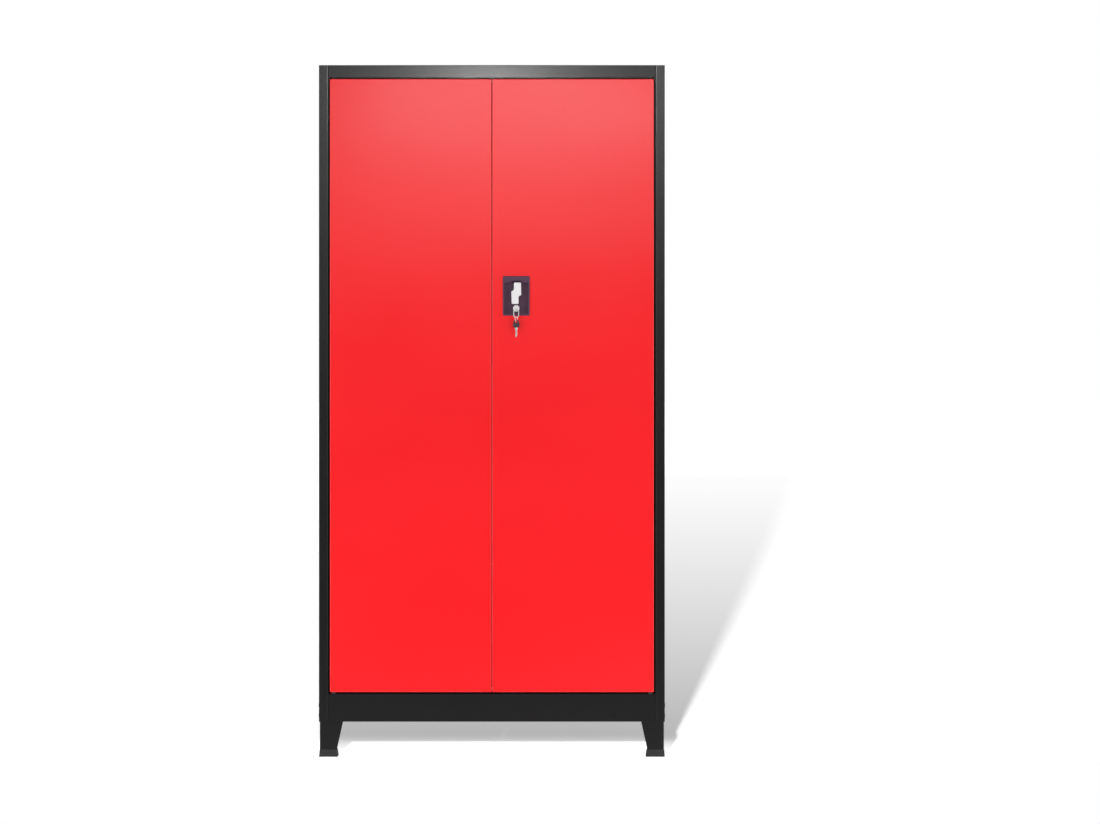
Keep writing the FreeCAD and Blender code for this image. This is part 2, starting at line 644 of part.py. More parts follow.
def door(label, s):
    """Door pan: skin, four returns and a lip all round the back."""
    p = Piece(label)
    e, f = D["door_edge"], D["door_free"]
    b, t = D["door_base"], D["door_top"]
    lip = D["door_lip"]
    p.pad("Y", front, door_back, rect(s * e, b, s * f, t))
    p.cut("Y", front + g, door_back - g, rect(s * (e - g), b + g, s * (f + g), t - g))
    p.cut("Y", door_back - g - 1, door_back + 1,
          rect(s * (e - lip), b + lip, s * (f + lip), t - lip))
    xm, zm = s * (e + f) / 2, (b + t) / 2
    # outer bends round the front face
    p.round(D["door_round"], (s * e, front, zm, "Z"), (s * f, front, zm, "Z"),
            (xm, front, t, "X"), (xm, front, b, "X"),
            (s * e, front + 9, b, "Y"), (s * e, front + 9, t, "Y"),
            (s * f, front + 9, b, "Y"), (s * f, front + 9, t, "Y"))
    p.round(D["door_round_in"], (s * (e - g), front + g, zm, "Z"), (s * (f + g), front + g, zm, "Z"),
            (xm, front + g, t - g, "X"), (xm, front + g, b + g, "X"))
    p.round(0.6, (s * e, door_back, zm, "Z"), (s * f, door_back, zm, "Z"),
            (xm, door_back, t, "X"), (xm, door_back, b, "X"))
    p.cut("Z", t - g - 1, t + 1, circle(s * D["hinge_x"], -D["hinge_y"], D["pin_r"] + 0.3))
    p.cut("Z", b - 1, b + g + 1, circle(s * D["hinge_x"], -D["hinge_y"], D["pin_r"] + 0.3))
    return p


left = door("door_left", -1)
lx, kz, pz = D["lock_x"], D["knob_z"], D["plug_z"]
# The side bolt enters the left door through a slot in its free edge.
left.cut("X", -(D["door_free"] + g + 0.5), -(D["door_free"] - 0.5), rect(-186.4, kz + 17.6, -182.0, kz + 32.4))

right = door("door_right", 1)
right.cut("X", D["door_free"] - 0.5, D["door_free"] + g + 0.5, rect(-186.4, kz + 17.6, -182.0, kz + 32.4))
right.cut("Y", front - 1, front + g + 1,
          rect(lx - 32.3, D["bezel_base"] + 2.2, lx + 32.3, D["bezel_top"] - 2.2))
right.cut("Z", D["door_top"] - g - 1, D["door_top"] + 1, rect(lx + 6, -188.6, lx + 18, -184.6))
right.cut("Z", D["door_base"] - 1, D["door_base"] + g + 1, rect(lx - 18, -188.6, lx - 6, -184.6))


def stiffener(label, s):
    """Hat channel spot-welded up the middle of the door."""
    p = Piece(label)
    c = D["stiff_x"]
    f = front + g + 0.1
    r = f + 15.9

    def at(off, y):
        return (s * (c + off), y)

    p.pad("Z", D["stiff_base"], D["stiff_top"], poly(
        at(-30, f), at(-17.2, f), at(-17.2, r - g), at(17.2, r - g), at(17.2, f), at(30, f),
        at(30, f + g), at(18, f + g), at(18, r), at(-18, r), at(-18, f + g), at(-30, f + g)))
    p.round(1.0, (s * (c + 18), r, 900, "Z"), (s * (c - 18), r, 900, "Z"))
    return p


stiffener("stiffener_left", -1)
stiffener("stiffener_right", 1)


def hinge_set(side, s):
    """Fixed lower pivot, spring-loaded upper pivot, their brackets and the spring."""
    x, y = s * D["hinge_x"], -D["hinge_y"]
    r = D["pin_r"]
    pins = Piece("hinge_pins_" + side)
    pins.turn_z(x, y, [(0, 157), (r - 0.6, 157), (r, 157.6), (r, 165.6), (5.5, 165.6), (5.5, 168.4),
                       (r, 168.4), (r, 205), (0, 205)])
    pins.turn_z(x, y, [(0, 1714), (3.6, 1714), (4.4, 1715), (4.4, 1720), (3.6, 1721), (r, 1721),
                       (r, 1758), (5.0, 1758), (5.0, 1762.6), (r, 1762.6), (r, 1773.4), (r - 0.6, 1774), (0, 1774)])
    brackets = Piece("hinge_brackets_" + side)
    wall = D["door_edge"] - g - 0.1
    for low, high, hole in ((196.0, 214.0, 197.0), (1722.5, 1740.5, 1732.0)):
        # plate round the pin and a tab welded against the hinge-side return
        brackets.pad("Z", hole, hole + 1.6, rect(s * wall, y - 7, s * (wall - 18), y + 7))
        brackets.pad("X", s * wall, s * (wall - 1.2), rect(y - 7, low if low > hole else hole, y + 7, high))
        brackets.cut("Z", hole - 1, hole + 3, circle(x, y, r + 0.2))
    spring = Piece("hinge_spring_" + side)
    sk = spring.sketch("Y", y, [circle(4.25, 1734.6, 0.5)], (x, 0))
    item = spring.body.newObject("PartDesign::AdditiveHelix", spring.name("coil"))
    item.Profile = sk
    item.ReferenceAxis = (sk, ["V_Axis"])
    item.Mode = "pitch-height-angle"
    item.Pitch = 2.85
    item.Height = 22.5
    item.Angle = 0
    spring.last = item


hinge_set("left", -1)
hinge_set("right", 1)

# Steel plate behind the slot that the side bolt enters.
p = Piece("strike_plate")
p.pad("X", -(D["door_free"] + g + 0.1), -(D["door_free"] + g + 1.6), rect(-196, kz + 5, -181.1, kz + 45))
p.cut("X", -(D["door_free"] + g - 1), -(D["door_free"] + g + 3), rect(-186.4, kz + 17.6, -182.0, kz + 32.4))


# ---------------------------------------------------------------- lock and latch
bz0, bz1 = D["bezel_base"], D["bezel_top"]
bf = front - D["bezel_proud"]
rf = front + D["recess_deep"]
hw = D["bezel_wide"] / 2
p = Piece("lock_housing")
p.pad("Y", bf, front - 0.02, rect(lx - hw, bz0, lx + hw, bz1))
p.round(4.5, (lx - hw, bf + 1, bz0, "Y"), (lx + hw, bf + 1, bz0, "Y"),
        (lx - hw, bf + 1, bz1, "Y"), (lx + hw, bf + 1, bz1, "Y"))
p.round(1.8, (lx - hw, bf, bz0 + 40, "Z"))
p.pad("Y", front - 0.5, rf + 2, rect(lx - 32, bz0 + 2.6, lx + 32, bz1 - 2.6))
p.cut("Y", bf - 1, rf, rect(lx - 30.3, bz0 + 5.2, lx + 30.3, bz1 - 17.5))
p.cut("Y", bf - 1, rf, rect(lx - 13.5, bz1 - 18, lx + 13.5, bz1 - 12))
# shallow step that frames the recess
p.cut("Y", bf - 1, bf + 1.0, rect(lx - 31.3, bz0 + 4.2, lx + 31.3, bz1 - 17.0))
p.pad("Y", rf - 1.0, rf + 0.5, rect(lx - 30.8, bz0 + 4.6, lx + 30.8, bz0 + 27.4))
p.cut("Y", rf - 2, rf + 4, circle(lx, kz, 4.3), circle(lx, pz, 6.6))
# boss that the cylinder stands in
p.pad("Y", rf - 2.6, rf + 0.5, circle(lx, pz, 10.6))
p.cut("Y", rf - 5, rf + 4, circle(lx, pz, 6.6))
p.cut("Y", rf - 5, rf - 0.2, circle(lx, pz, 8.6))
# ring round the spindle
p.pad("Y", rf - 0.0, rf + 2, circle(lx, kz, 6.0))
p.cut("Y", rf - 1, rf + 4, circle(lx, kz, 4.3))

p = Piece("lock_retainer")
p.pad("Y", front + g + 0.1, front + g + 1.6, rect(lx - 42, bz0 - 7, lx + 42, bz1 + 7))
p.cut("Y", front, front + 5, rect(lx - 32.2, bz0 + 2.4, lx + 32.2, bz1 - 2.4))
for s in (-1, 1):
    # spring tabs that press on the housing's long sides
    p.pad("X", s * 32.2 + lx, s * 33.2 + lx, rect(front + g + 0.5, kz - 30, front + 9, kz - 14))
    p.pad("X", s * 32.2 + lx, s * 33.2 + lx, rect(front + g + 0.5, kz + 8, front + 9, kz + 24))

p = Piece("lock_barrel")
p.turn_y(lx, pz, [(5.5, -200.5), (7.6, -200.5), (8.5, -199.8), (8.5, rf - 0.25), (6.5, rf - 0.25),
                  (6.5, -183.0), (5.5, -183.0)])

p = Piece("barrel_clip")
p.pad("Y", rf + 2.05, rf + 2.95, rect(lx - 6.3, pz - 11, lx + 14.5, pz + 11))
p.cut("Y", rf + 1, rf + 4, circle(lx, pz, 6.55), rect(lx - 7, pz - 5.6, lx - 2, pz + 5.6))

# Guides for the two rods: an angle on the door skin with a slot for the bar.
p = Piece("rod_guides")
for off, level in ((12, 1480.0), (12, 1732.0), (-12, 940.0), (-12, 216.0)):
    c = lx + off
    p.pad("Z", level, level + 1.2, rect(c - 12, front + g + 0.1, c + 12, -182.2))
    p.pad("Y", front + g + 0.1, front + g + 1.3, rect(c - 12, level, c + 12, level + 16))
    p.cut("Z", level - 1, level + 2.2, rect(c - 5.7, -188.3, c + 5.7, -184.9))

# Z-shaped turning grip on a hub and spindle.
p = Piece("handle_grip")


def off_knob(u, v):
    return (lx + u, kz + v)


p.pad("Y", -201.0, -193.0, poly(
    off_knob(-5.9, 28.2), off_knob(12.1, 28.2), off_knob(12.9, -5.2), off_knob(5.9, -8.0),
    off_knob(5.9, -28.2), off_knob(-12.1, -28.2), off_knob(-12.9, 5.2), off_knob(-5.9, 8.0)))
doc.recompute()
p.round(2.6, (lx - 5.9, -197, kz + 28.2, "Y"), (lx + 12.1, -197, kz + 28.2, "Y"),
        (lx + 5.9, -197, kz - 28.2, "Y"), (lx - 12.1, -197, kz - 28.2, "Y"))
p.round(6.0, (lx + 5.9, -197, kz - 8.0, "Y"), (lx - 5.9, -197, kz + 8.0, "Y"))
p.round(2.0, (lx + 12.9, -197, kz - 5.2, "Y"), (lx - 12.9, -197, kz + 5.2, "Y"))
p.round(1.5, (lx + 12.5, -201, kz + 10, None))
p.turn_y(lx, kz, [(0, -194), (10.5, -194), (9.6, rf - 0.25), (4.0, rf - 0.25), (4.0, -182.9), (0, -182.9)])
p.pad("Y", -183.2, -180.85, rect(lx - 2.6, kz - 2.6, lx + 2.6, kz + 2.6))
p.cut("Y", -188.0, -180.0, circle(lx, kz, 1.5))

# Disc behind the lock: three crank pins and two rim cuts for the locking fan.
p = Piece("cam_disc")
p.pad("Y", -182.8, -180.8, circle(lx, kz, D["disc_r"]))
c45 = math.cos(math.radians(45))
crank = D["crank_r"] * c45
p.pad("Y", -187.7, -182.5, circle(lx + crank, kz - crank, D["crank_pin_r"]),
      circle(lx - crank, kz + crank, D["crank_pin_r"]))
p.pad("Y", -185.3, -182.5, circle(lx + crank, kz + crank, D["crank_pin_r"]))
drop = kz - pz
# with the grip upright the fan's arc is below the disc; turned a quarter, that place is at its right
p.cut("Y", -184, -180, circle(lx, kz - drop, D["fan_clear_r"]))
p.cut("Y", -184, -180, circle(lx - drop, kz, D["fan_clear_r"]))
p.cut("Y", -184, -180, rect(lx - 2.7, kz - 2.7, lx + 2.7, kz + 2.7))

p = Piece("cam_screw")
p.pad("Y", -180.8, -179.0, circle(lx, kz, 5.0))
p.pad("Y", -179.0, -178.3, circle(lx, kz, 4.0))
p.pad("Y", -187.0, -180.5, circle(lx, kz, 1.45))
p.cut("Y", -179.4, -178.0, rect(lx - 4.5, kz - 0.5, lx + 4.5, kz + 0.5))
p.cut("Y", -179.4, -178.0, rect(lx - 0.5, kz - 4.5, lx + 0.5, kz + 4.5))


def rod(label, s, tip):
    """Flat locking bar with a cross slot for its crank pin.  s is +1 for the upper bar."""
    p = Piece(label)
    y0 = -187.6
    y1 = y0 + D["rod_gauge"]
    zc = kz - s * crank
    p.pad("Y", y0, y1, rect(lx + s * 7, zc - s * 6.2, lx + s * 17, tip))
    p.pad("Y", y0, y1, rect(lx + s * 5.6, zc - 6.2, lx + s * 18.8, zc + 6.2))
    p.cut("Y", y0 - 1, y1 + 1, slot(lx + s * crank, zc, lx + s * D["crank_r"], zc, D["crank_pin_r"] + 0.6))
    p.round(2.5, (lx + s * 7, y0 + 1, tip, "Y"), (lx + s * 17, y0 + 1, tip, "Y"))
    return p


rod("upper_rod", 1, Size.of(1762.5))
rod("lower_rod", -1, Size.of(170.0))

p = Piece("side_bolt")
p.pad("Y", -185.2, -183.2, rect(2.2, kz + 19, lx + 16.4, kz + 31))
p.pad("Y", -185.2, -183.2, rect(lx + 3.4, kz + 4.8, lx + 16.4, kz + 20))
p.cut("Y", -186.5, -182, slot(lx + crank, kz + crank, lx + crank, kz + D["crank_r"], D["crank_pin_r"] + 0.6))
p.round(2.5, (2.2, -184.2, kz + 19, "Y"), (2.2, -184.2, kz + 31, "Y"))

# Lock plug with its keyway, the fan that blocks the disc, and its screw.
p = Piece("lock_plug")
p.turn_y(lx, pz, [(0, -200.3), (4.8, -200.3), (5.3, -199.8), (5.3, -182.8), (0, -182.8)])
p.pad("Y", -182.9, -180.9, rect(lx - 2.6, pz - 2.6, lx + 2.6, pz + 2.6))
p.cut("Y", -201, -184.2, rect(lx - 3.8, pz - 1.15, lx + 3.8, pz + 1.15))
p.cut("Y", -183.8, -180.0, circle(lx, pz, 1.3))

p = Piece("lock_tongue")
p.pad("Y", -182.6, -181.0, ("fan", lx, pz, D["fan_r"], 20.0))
p.pad("Y", -182.6, -181.0, circle(lx, pz, 7.5))
p.cut("Y", -184, -180, rect(lx - 2.7, pz - 2.7, lx + 2.7, pz + 2.7))

p = Piece("plug_screw")
p.pad("Y", -180.85, -179.2, circle(lx, pz, 4.2))
p.pad("Y", -183.6, -180.6, circle(lx, pz, 1.25))
p.cut("Y", -179.9, -178.9, rect(lx - 3.6, pz - 0.4, lx + 3.6, pz + 0.4))

# ---------------------------------------------------------------- keys
kp = -D["key_plane"]
# Blade of the folding key, flat in the keyway, with the knuckle its head turns on.
p = Piece("key_blade")
p.pad("Z", pz - 0.9, pz + 0.9, poly(
    (lx - 3.5, kp + 2.4), (lx + 3.5, kp + 2.4), (lx + 3.5, -186.5), (lx + 1.2, -184.8), (lx - 3.5, -184.8)))
p.pad("Z", pz - 0.9, pz + 0.9, rect(lx - 2.4, kp, lx + 2.4, kp + 3.2))
p.pad("X", lx - 2.4, lx + 2.4, circle(kp, pz, 1.9))
p.cut("X", lx - 4, lx + 4, circle(kp, pz, 0.95))
p.cut("Z", pz - 2, pz + 2, poly((lx - 4, -197.2), (lx - 2.5, -196.2), (lx - 4, -195.2)),
      poly((lx - 4, -193.6), (lx - 2.9, -192.8), (lx - 4, -192.0)),
      poly((lx - 4, -190.6), (lx - 2.3, -189.4), (lx - 4, -188.2)))

# Folding bow of the key, a flat steel loop that hangs in front of the cylinder.
ht = D["bow_thick"] / 2
bow_up = pz - 7.5
bow_low = pz - 17.5
strip_z = bow_low - (D["bow_outer_r"] + D["bow_inner_r"]) / 2
p = Piece("key_bow")
p.pad("Y", kp - ht, kp + ht, slot(lx, bow_up, lx, bow_low, D["bow_outer_r"]))
p.cut("Y", kp - 3, kp + 3, slot(lx, bow_up, lx, bow_low, D["bow_inner_r"]))
# two ears carry the pin that the knuckle turns on
p.pad("Y", kp - ht, kp + ht, rect(lx - 5.4, pz - 3.6, lx + 5.4, pz + 1.8))
p.cut("Y", kp - 3, kp + 3, rect(lx - 2.7, pz - 6, lx + 2.7, pz + 3))
p.pad("X", lx - 5.0, lx + 5.0, circle(kp, pz, 0.85))

# Wire ring through the bow and the spare key's head.
ring_top = strip_z + 2.6
ring_z = ring_top - D["ring_r"]
ring = doc.addObject("Part::Torus", "key_ring")
ring.Label = "key_ring"
ring.Radius1 = D["ring_r"].value
ring.setExpression("Radius1", D["ring_r"].text)
ring.Radius2 = D["ring_wire"].value
ring.setExpression("Radius2", D["ring_wire"].text)
ring.Placement = Placement(Vector(lx.value, kp.value, ring_z.value),
                           Rotation(Vector(0, 0, 1), 60) * Rotation(Vector(1, 0, 0), 90))
ring.setExpression("Placement.Base.x", lx.text)
ring.setExpression("Placement.Base.y", kp.text)
ring.setExpression("Placement.Base.z", ring_z.text)

# Spare key: flat cut blade in a moulded head.
spare_z = ring_z - D["ring_r"]
p = Piece("spare_key_blade")
p.pad("Y", kp - 0.9, kp + 0.9, poly(
    (lx - 3.6, spare_z - 16), (lx + 3.6, spare_z - 16), (lx + 3.6, spare_z - 20.5), (lx + 2.4, spare_z - 21.7),
    (lx + 2.4, spare_z - 37), (lx + 0.6, spare_z - 40.4), (lx - 2.4, spare_z - 40.4), (lx - 2.4, spare_z - 39),
    (lx - 1.2, spare_z - 37.6), (lx - 2.4, spare_z - 36.2), (lx - 2.4, spare_z - 34.0),
    (lx - 1.6, spare_z - 32.8), (lx - 2.4, spare_z - 31.6), (lx - 2.4, spare_z - 29.4),
    (lx - 1.0, spare_z - 27.8), (lx - 2.4, spare_z - 26.2), (lx - 2.4, spare_z - 21.7), (lx - 3.6, spare_z - 20.5)))
p.cut("Y", kp - 1.0, kp - 0.55, rect(lx + 0.3, spare_z - 39, lx + 1.3, spare_z - 20.5))
p = Piece("spare_key_head")
p.pad("Y", kp - 1.5, kp + 1.5, poly(
    (lx - 4.6, spare_z + 4.0), (lx + 4.6, spare_z + 4.0), (lx + 6.6, spare_z + 1.0), (lx + 8.9, spare_z - 10.5),
    (lx + 7.2, spare_z - 15.0), (lx + 4.2, spare_z - 15.9), (lx - 4.2, spare_z - 15.9),
    (lx - 7.2, spare_z - 15.0), (lx - 8.9, spare_z - 10.5), (lx - 6.6, spare_z + 1.0)))
p.round(2.2, (lx + 8.9, kp, spare_z - 10.5, "Y"), (lx - 8.9, kp, spare_z - 10.5, "Y"),
        (lx + 6.6, kp, spare_z + 1.0, "Y"), (lx - 6.6, kp, spare_z + 1.0, "Y"))
p.cut("Y", kp - 3, kp + 3, circle(lx, spare_z - 0.9, 3.3))
# sunken panel in the middle of each side of the head
p.cut("Y", kp - 2, kp - 1.15, rect(lx - 4.4, spare_z - 13.4, lx + 4.4, spare_z - 5.8))
p.cut("Y", kp + 1.15, kp + 2, rect(lx - 4.4, spare_z - 13.4, lx + 4.4, spare_z - 5.8))

# ---------------------------------------------------------------- checks and files
doc.recompute()
bad = []
for item in doc.Objects:
    if any(word in state for state in item.State for word in ("Invalid", "Error")):
        bad.append("%s %s" % (item.Label, item.State))
nodes = [(piece.label, piece.body) for piece in PIECES] + [("key_ring", ring)]
for piece in PIECES:
    for pocket in getattr(piece, "cuts", []):
        before = pocket.BaseFeature.Shape.Volume if pocket.BaseFeature else 0.0
        if before - pocket.Shape.Volume < 1e-3:
            bad.append("%s cuts nothing" % pocket.Name)
for label, item in nodes:
    shape = item.Shape
    if shape.isNull() or not shape.isValid() or not shape.Solids:
        bad.append("%s has no valid shape" % label)
if bad:
    raise RuntimeError("; ".join(bad))

os.makedirs("parts", exist_ok=True)
total = 0.0
for label, item in nodes:
    item.Shape.exportStep(os.path.join("parts", label + ".step"))
    box = item.Shape.BoundBox
    total += item.Shape.Volume
    print("%-24s solids %2d  vol %10.1f  x %8.2f %8.2f  y %8.2f %8.2f  z %8.2f %8.2f" % (
        label, len(item.Shape.Solids), item.Shape.Volume, box.XMin, box.XMax, box.YMin, box.YMax,
        box.ZMin, box.ZMax))
print("%d pieces, %.0f cubic mm" % (len(nodes), total))
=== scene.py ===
import json
import math

import bpy
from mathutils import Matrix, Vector


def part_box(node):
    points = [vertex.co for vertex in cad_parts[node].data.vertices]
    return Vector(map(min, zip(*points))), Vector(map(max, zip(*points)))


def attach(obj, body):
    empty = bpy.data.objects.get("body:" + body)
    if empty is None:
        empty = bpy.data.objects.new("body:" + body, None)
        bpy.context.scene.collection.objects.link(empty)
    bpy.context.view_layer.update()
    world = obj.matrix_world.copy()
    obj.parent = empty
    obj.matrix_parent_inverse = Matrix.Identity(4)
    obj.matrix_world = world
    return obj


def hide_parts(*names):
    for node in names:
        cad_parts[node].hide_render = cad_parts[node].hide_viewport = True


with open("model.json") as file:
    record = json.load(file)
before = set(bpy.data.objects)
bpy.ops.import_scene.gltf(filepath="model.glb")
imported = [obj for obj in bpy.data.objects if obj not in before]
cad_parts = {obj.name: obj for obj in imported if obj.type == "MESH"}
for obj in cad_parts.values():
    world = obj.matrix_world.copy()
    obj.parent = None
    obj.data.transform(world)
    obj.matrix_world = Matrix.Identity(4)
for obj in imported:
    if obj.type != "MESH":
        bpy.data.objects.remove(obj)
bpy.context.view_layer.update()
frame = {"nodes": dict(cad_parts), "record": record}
nodes = frame["nodes"]
scene = bpy.context.scene


# ------------------------------------------------------------------ node helpers
class Graph:
    """Small wrapper round one material's node tree."""

    def __init__(self, name):
        self.material = bpy.data.materials.new(name)
        self.material.use_nodes = True
        self.tree = self.material.node_tree
        self.tree.nodes.clear()
        self.out = self.tree.nodes.new("ShaderNodeOutputMaterial")
        self.bsdf = self.tree.nodes.new("ShaderNodeBsdfPrincipled")
        self.link(self.bsdf.outputs["BSDF"], self.out.inputs["Surface"])
        self.coords = self.tree.nodes.new("ShaderNodeTexCoord").outputs["Object"]

    def link(self, a, b):
        self.tree.links.new(a, b)

    def set(self, **values):
        for key, value in values.items():
            self.bsdf.inputs[key.replace("_", " ")].default_value = value

    def noise(self, scale, detail=2.0, rough=0.5, stretch=None, distortion=0.0):
        node = self.tree.nodes.new("ShaderNodeTexNoise")
        node.inputs["Scale"].default_value = scale
        node.inputs["Detail"].default_value = detail
        node.inputs["Roughness"].default_value = rough
        node.inputs["Distortion"].default_value = distortion
        source = self.coords
        if stretch:
            mapping = self.tree.nodes.new("ShaderNodeMapping")
            mapping.inputs["Scale"].default_value = stretch
            self.link(source, mapping.inputs["Vector"])
            source = mapping.outputs["Vector"]
        self.link(source, node.inputs["Vector"])
        return node.outputs["Fac"]

    def voronoi(self, scale, output="Distance", feature="F1", stretch=None):
        node = self.tree.nodes.new("ShaderNodeTexVoronoi")
        node.feature = feature
        node.inputs["Scale"].default_value = scale
        source = self.coords
        if stretch:
            mapping = self.tree.nodes.new("ShaderNodeMapping")
            mapping.inputs["Scale"].default_value = stretch
            self.link(source, mapping.inputs["Vector"])
            source = mapping.outputs["Vector"]
        self.link(source, node.inputs["Vector"])
        return node.outputs[output]

    def remap(self, value, low, high, to_low, to_high):
        node = self.tree.nodes.new("ShaderNodeMapRange")
        node.inputs["From Min"].default_value = low
        node.inputs["From Max"].default_value = high
        node.inputs["To Min"].default_value = to_low
        node.inputs["To Max"].default_value = to_high
        self.link(value, node.inputs["Value"])
        return node.outputs["Result"]

    def ramp(self, value, *stops):
        node = self.tree.nodes.new("ShaderNodeValToRGB")
        ramp = node.color_ramp
        while len(ramp.elements) < len(stops):
            ramp.elements.new(0.5)
        for element, (place, colour) in zip(ramp.elements, stops):
            element.position = place
            element.color = (*colour, 1.0)
        self.link(value, node.inputs["Fac"])
        return node.outputs["Color"]

    def math(self, kind, a, b):
        node = self.tree.nodes.new("ShaderNodeMath")
        node.operation = kind
        for socket, value in zip(node.inputs, (a, b)):
            if isinstance(value, (int, float)):
                socket.default_value = value
            else:
                self.link(value, socket)
        return node.outputs["Value"]

    def bump(self, height, strength, distance, under=None):
        node = self.tree.nodes.new("ShaderNodeBump")
        node.inputs["Strength"].default_value = strength
        node.inputs["Distance"].default_value = distance
        self.link(height, node.inputs["Height"])
        if under is not None:
            self.link(under, node.inputs["Normal"])
        return node.outputs["Normal"]

    def to(self, socket, value):
        self.link(value, self.bsdf.inputs[socket])


def black_coat():
    """Black powder coat with a fine pebbled grain."""
    g = Graph("black_powder_coat_finish")
    pebble = g.noise(400.0, 1.0, 0.45)
    grain = g.noise(1100.0, 2.0, 0.55)
    broad = g.noise(5.0, 2.0, 0.5)
    g.to("Base Color", g.ramp(grain, (0.30, (0.0026, 0.0026, 0.0028)), (0.55, (0.0034, 0.0034, 0.0036)),
                              (0.80, (0.0062, 0.0062, 0.0066))))
    g.to("Roughness", g.math("ADD", g.remap(pebble, 0.3, 0.7, 0.30, 0.38), g.remap(broad, 0.3, 0.7, -0.015, 0.015)))
    g.to("Normal", g.bump(pebble, 0.60, 0.00036, g.bump(grain, 0.25, 0.00014)))
    g.set(IOR=1.5, Specular_IOR_Level=0.23)
    return g.material


def red_coat():
    """Smooth semi-gloss red powder coat on a slightly wavy sheet, with broad cloudy variation in tone and
    roughness.
    """
    g = Graph("red_powder_coat_finish")
    wave = g.noise(2.6, 1.0, 0.4, distortion=0.3)
    cloud = g.noise(2.3, 2.0, 0.45, stretch=(1.0, 1.0, 1.4), distortion=0.3)
    g.to("Base Color", g.ramp(cloud, (0.25, (0.738, 0.0054, 0.0090)), (0.75, (0.770, 0.0066, 0.0104))))
    g.to("Roughness", g.remap(cloud, 0.2, 0.8, 0.222, 0.268))
    g.to("Normal", g.bump(wave, 0.25, 0.006))
    g.set(IOR=1.5)
    return g.material


def zinc():
    """Bright zinc plate with faint spangle and fine rolling lines."""
    g = Graph("zinc_plate_finish")
    grain = g.noise(260.0, 3.0, 0.6)
    cell = g.voronoi(160.0, "Color")
    lines = g.noise(90.0, 2.0, 0.5, stretch=(1.0, 1.0, 0.06))
    g.to("Base Color", g.ramp(grain, (0.30, (0.52, 0.53, 0.54)), (0.70, (0.68, 0.69, 0.70))))
    rough = g.math("ADD", g.remap(cell, 0.0, 1.0, 0.31, 0.42), g.remap(lines, 0.3, 0.7, -0.03, 0.03))
    g.to("Roughness", rough)
    g.to("Normal", g.bump(lines, 0.12, 0.0001, g.bump(grain, 0.10, 0.0001)))
    g.set(Metallic=1.0)
    return g.material


def moulded(name, dark, light, rough, scale=900.0, depth=0.00012, strength=0.35, shine=0.5):
    """Moulded plastic with an eroded grain."""
    g = Graph(name)
    grain = g.noise(scale, 2.0, 0.55)
    broad = g.noise(22.0, 2.0, 0.5)
    g.to("Base Color", g.ramp(broad, (0.25, dark), (0.75, light)))
    g.to("Roughness", g.math("ADD", g.remap(grain, 0.3, 0.7, rough - 0.07, rough + 0.07),
                             g.remap(broad, 0.3, 0.7, -0.03, 0.03)))
    g.to("Normal", g.bump(grain, strength, depth))
    g.set(Specular_IOR_Level=shine)
    return g.material


def plated(name, tint, rough, metal=1.0):
    """Satin-plated metal: fine blasted grain with faint polishing lines."""
    g = Graph(name)
    fine = g.noise(1600.0, 2.0, 0.5)
    lines = g.noise(420.0, 2.0, 0.5, stretch=(1.0, 1.0, 0.08))
    broad = g.noise(40.0, 2.0, 0.5)
    low = tuple(c * 0.93 for c in tint)
    g.to("Base Color", g.ramp(broad, (0.3, low), (0.7, tint)))
    g.to("Roughness", g.math("ADD", g.remap(lines, 0.3, 0.7, rough - 0.05, rough + 0.06),
                             g.remap(broad, 0.3, 0.7, -0.02, 0.02)))
    g.to("Normal", g.bump(fine, 0.10, 0.00003, g.bump(lines, 0.08, 0.00005)))
    g.set(Metallic=metal)
    return g.material


FINISHES = {
    "black_powder_coat": black_coat(),
    "red_powder_coat": red_coat(),
    "zinc_plated_steel": zinc(),
    "foot_plastic": moulded("foot_plastic_finish", (0.009, 0.0094, 0.0102), (0.015, 0.0155, 0.0165), 0.50, 700.0, shine=0.35),
    "black_nylon": moulded("black_nylon_finish", (0.012, 0.012, 0.012), (0.020, 0.020, 0.020), 0.42, 500.0, 0.0001, 0.2),
    "black_rubber": moulded("black_rubber_finish", (0.014, 0.014, 0.014), (0.024, 0.024, 0.024), 0.72, 800.0),
    "housing_plastic": moulded("housing_plastic_finish", (0.066, 0.029, 0.054), (0.082, 0.037, 0.068), 0.50,
                               1100.0, 0.0001, 0.3, 0.25),
    "satin_chrome": plated("satin_chrome_finish", (0.74, 0.725, 0.735), 0.40, 0.55),
    "nickel": plated("nickel_finish", (0.86, 0.85, 0.83), 0.26, 0.85),
    "black_oxide_steel": plated("black_oxide_finish", (0.040, 0.040, 0.042), 0.36, 0.7),
    "key_plastic": moulded("key_plastic_finish", (0.016, 0.014, 0.015), (0.026, 0.023, 0.024), 0.34, 900.0),
}
for row in frame["record"]["subparts"]:
    piece = nodes[row["node"]]
    finish = FINISHES[row["material_slot"]]
    if not piece.material_slots:
        piece.data.materials.append(finish)
    for place in piece.material_slots:
        place.material = finish


